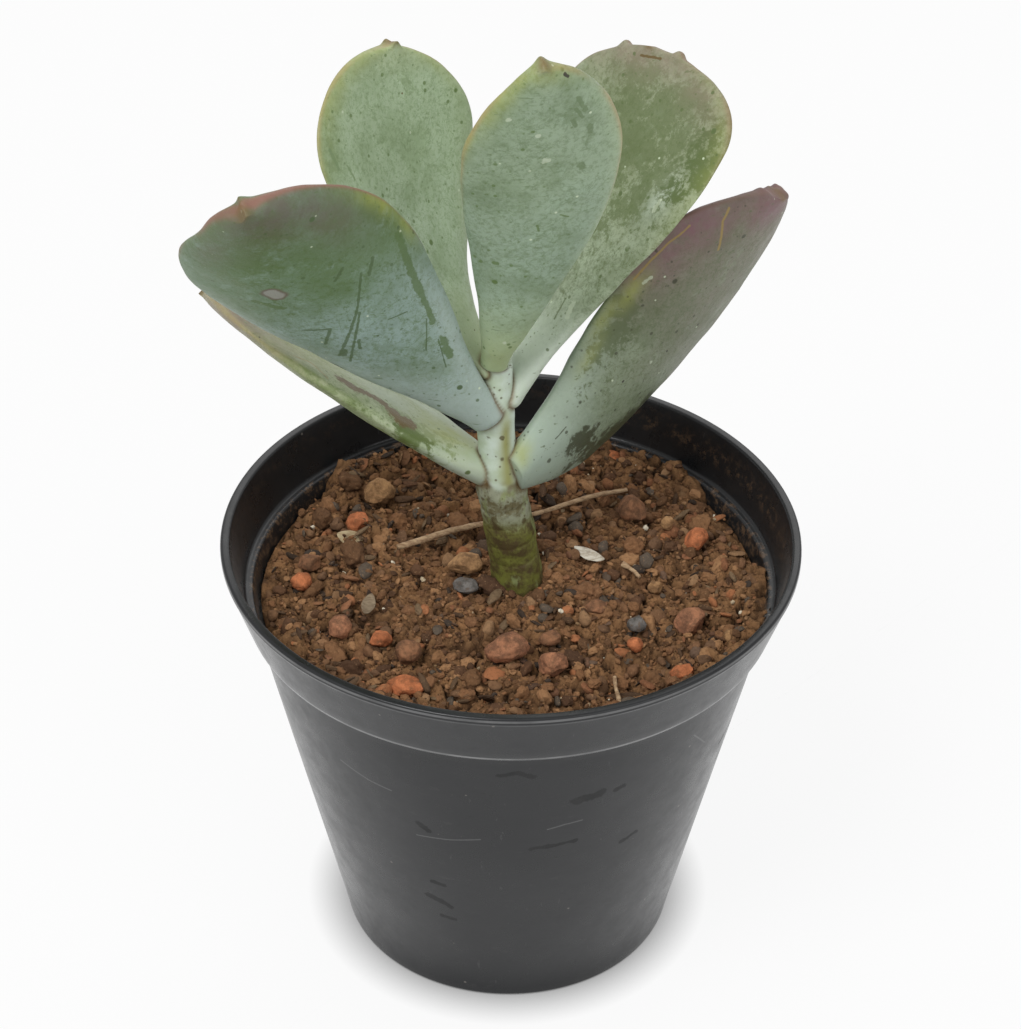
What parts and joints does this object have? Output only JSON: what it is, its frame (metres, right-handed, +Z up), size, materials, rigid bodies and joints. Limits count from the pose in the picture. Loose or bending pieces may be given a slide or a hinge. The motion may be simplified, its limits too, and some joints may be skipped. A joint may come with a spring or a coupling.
{
  "type": "potted cotyledon",
  "caption": "Small succulent with paired thick paddle leaves on a short green stem, rooted in stony soil in a round tapered plastic nursery pot.",
  "frame": {"origin": "middle of the pot's flat base, on the pot's axis, on the surface that it stands on", "axes": "+Z up along the pot's axis, -Y towards the side from which the plant is usually seen, +X to that viewer's right"},
  "size_m": [0.103, 0.1, 0.1861],
  "materials": {
    "pot_plastic": "scuffed satin dark grey plastic",
    "soil": "dry brown loam with fine grit and cracks",
    "stem": "olive green skin with brown cork flecks",
    "root": "pale brown root",
    "leaf": "grey-green skin with a waxy bloom, rubbed green patches and reddish margins",
    "stone_brown": "dull brown baked clay",
    "stone_orange": "dull orange baked clay",
    "stone_red": "dull red-brown baked clay",
    "stone_tan": "dull tan baked clay",
    "stone_grey": "dull dark grey stone",
    "straw": "dry straw and leaf scraps"
  },
  "bodies": {
    "root": {"pot": "pot_plastic", "soil": "soil", "stem": "stem", "roots": "root", "bud": "leaf", "leaf_lower_right": "leaf", "leaf_lower_left": "leaf", "leaf_middle_left": "leaf", "leaf_middle_right": "leaf", "leaf_top_front": "leaf", "leaf_top_back": "leaf", "stone_by_stem": "stone_tan", "stone_slate": "stone_grey", "stone_front_red": "stone_red", "stone_front_round": "stone_red", "stone_front_flat": "stone_brown", "stone_right_orange": "stone_orange", "stone_right_lump": "stone_brown", "stone_right_wedge": "stone_red", "stone_right_bead": "stone_orange", "stone_right_grey": "stone_grey", "stone_right_pale": "stone_tan", "stone_right_small": "stone_tan", "stone_right_rim": "stone_tan", "stone_right_chip": "stone_orange", "stone_middle": "stone_brown", "stone_back_orange": "stone_orange", "stone_left_curl": "stone_orange", "stone_left_lump": "stone_tan", "stone_left_orange": "stone_orange", "stone_left_brown": "stone_brown", "stone_left_front": "stone_red", "stone_left_small": "stone_orange", "stone_left_big": "stone_brown", "stone_left_flat": "stone_orange", "straw_long": "straw", "straw_short": "straw", "straw_side": "straw", "scrap_left": "straw", "scrap_husk": "straw", "scrap_curl": "straw", "scrap_rim": "straw"}
  },
  "joints": []
}
